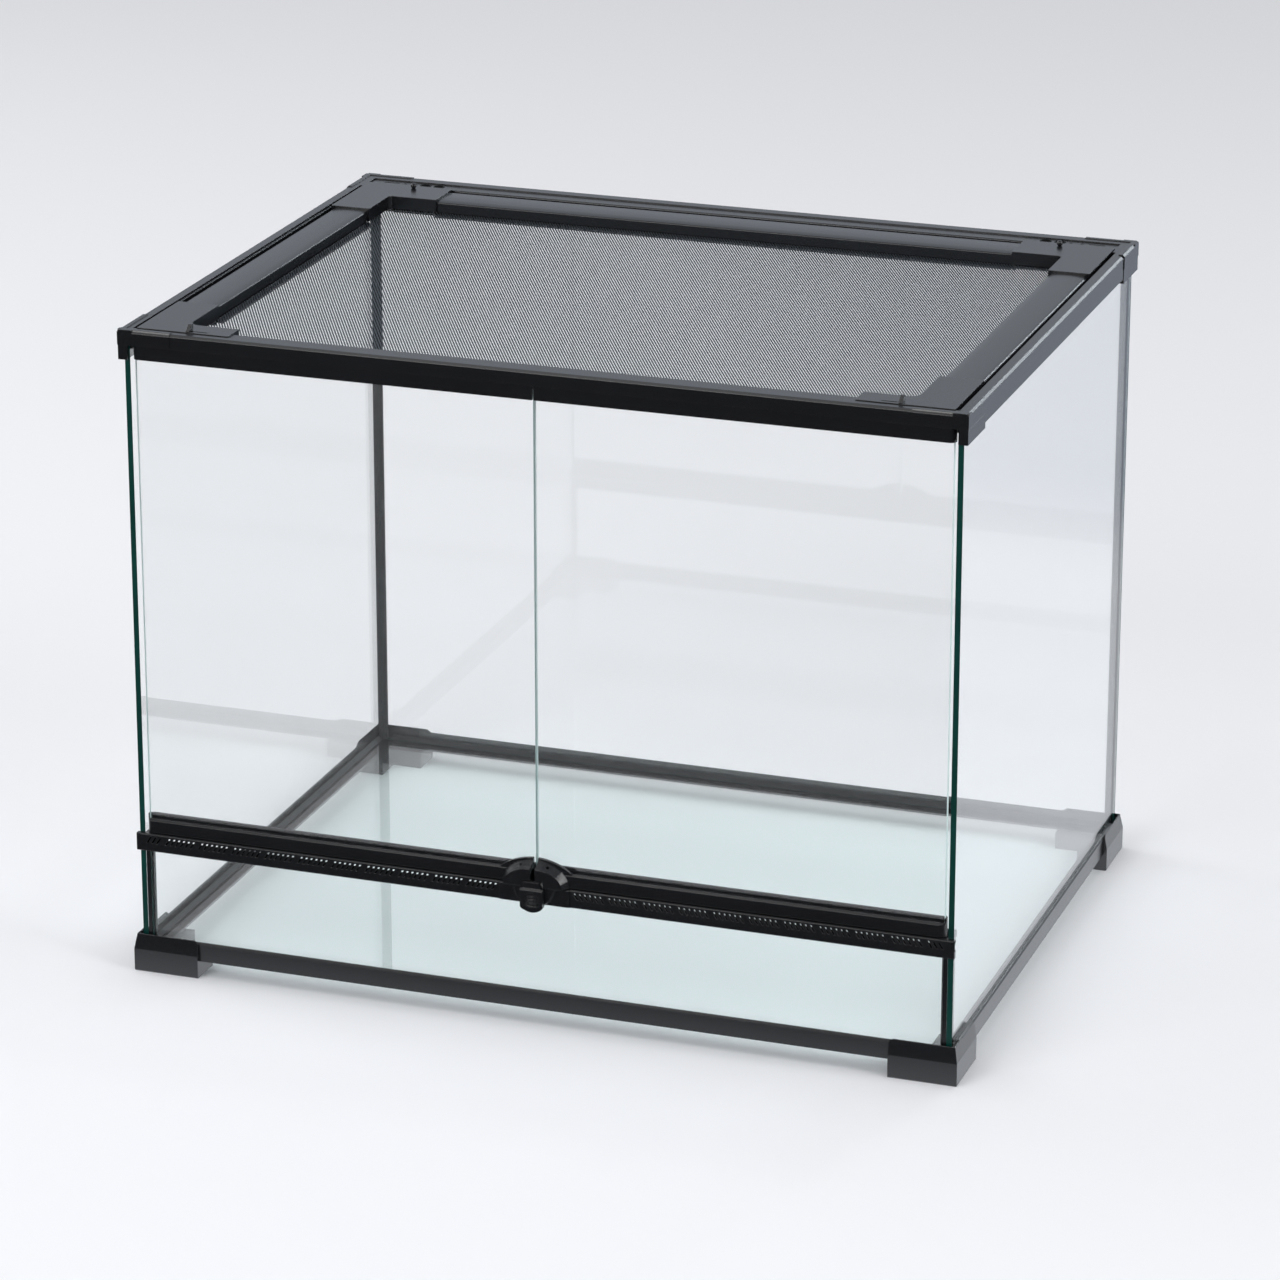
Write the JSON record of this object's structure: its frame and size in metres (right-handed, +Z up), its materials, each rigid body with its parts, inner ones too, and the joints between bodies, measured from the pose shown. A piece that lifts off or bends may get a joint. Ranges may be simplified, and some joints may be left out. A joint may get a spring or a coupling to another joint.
{
  "type": "small pet enclosure",
  "caption": "Front-opening glass enclosure on four feet with hinged doors, a push-down latch, a vented sill rail and a hinged mesh lid.",
  "frame": {"origin": "centre of the whole box's base, on the surface the feet stand on", "axes": "+Z up, -Y towards the doors, +X to the right seen from the front"},
  "size_m": [0.609, 0.465, 0.4805],
  "materials": {
    "black_plastic": "fine satin, injection moulded",
    "wall_glass": "clear float glass with green edges",
    "floor_glass": "float glass floor pane",
    "silicone": "smooth black silicone",
    "mesh_steel": "dark powder-coated woven wire",
    "pin_steel": "bright drawn steel",
    "rubber": "soft black rubber"
  },
  "bodies": {
    "frame": {"floor_glass": "floor_glass", "left_glass": "wall_glass", "right_glass": "wall_glass", "rear_glass": "wall_glass", "sill_glass": "wall_glass", "rear_left_seal": "silicone", "rear_right_seal": "silicone", "floor_seal": "silicone", "left_sill_post": "black_plastic", "right_sill_post": "black_plastic", "front_base_rail": "black_plastic", "rear_base_rail": "black_plastic", "left_base_rail": "black_plastic", "right_base_rail": "black_plastic", "front_left_foot": "black_plastic", "front_right_foot": "black_plastic", "rear_left_foot": "black_plastic", "rear_right_foot": "black_plastic", "left_vent_rail": "black_plastic", "right_vent_rail": "black_plastic", "latch_base": "black_plastic", "latch_spring": "pin_steel", "top_front_rail": "black_plastic", "top_rear_rail": "black_plastic", "top_left_rail": "black_plastic", "top_right_rail": "black_plastic", "front_left_cap": "black_plastic", "front_right_cap": "black_plastic", "rear_left_cap": "black_plastic", "rear_right_cap": "black_plastic", "left_cord_plate": "black_plastic", "right_cord_plate": "black_plastic", "left_cord_grommets": "rubber", "right_cord_grommets": "rubber"},
    "left_door": {"left_door_glass": "wall_glass", "left_door_top_strip": "black_plastic", "left_door_bottom_strip": "black_plastic", "left_door_handle": "black_plastic", "left_hinge_pins": "pin_steel"},
    "right_door": {"right_door_glass": "wall_glass", "right_door_top_strip": "black_plastic", "right_door_bottom_strip": "black_plastic", "right_door_handle": "black_plastic", "right_hinge_pins": "pin_steel"},
    "latch": {"latch_button": "black_plastic"},
    "lid": {"lid_front_bar": "black_plastic", "lid_rear_bar": "black_plastic", "lid_left_bar": "black_plastic", "lid_right_bar": "black_plastic", "lid_front_left_corner": "black_plastic", "lid_front_right_corner": "black_plastic", "lid_rear_left_corner": "black_plastic", "lid_rear_right_corner": "black_plastic", "lid_mesh": "mesh_steel", "lid_knobs": "black_plastic", "lid_pivot_pins": "pin_steel"},
    "left_lid_lock": {"left_lock": "black_plastic"},
    "right_lid_lock": {"right_lock": "black_plastic"}
  },
  "joints": [
    {"name": "left_door_hinge", "type": "hinge", "parent": "frame", "child": "left_door", "pos_m": [-0.289, -0.218, 0.1], "axis": [0, 0, -1], "range_deg": [0, 100]},
    {"name": "right_door_hinge", "type": "hinge", "parent": "frame", "child": "right_door", "pos_m": [0.289, -0.218, 0.1], "axis": [0, 0, 1], "range_deg": [0, 100]},
    {"name": "latch_slide", "type": "slide", "parent": "frame", "child": "latch", "axis": [0, 0, -1], "range_m": [0, 0.004], "stiffness_N_per_m": 300, "springref_m": -0.002, "deforming": ["latch_spring"]},
    {"name": "lid_hinge", "type": "hinge", "parent": "frame", "child": "lid", "pos_m": [0, 0.2021, 0.4722], "axis": [-1, 0, 0], "range_deg": [0, 75]},
    {"name": "left_lock_slide", "type": "slide", "parent": "lid", "child": "left_lid_lock", "axis": [1, 0, 0], "range_m": [0, 0.012]},
    {"name": "right_lock_slide", "type": "slide", "parent": "lid", "child": "right_lid_lock", "axis": [-1, 0, 0], "range_m": [0, 0.012]}
  ]
}
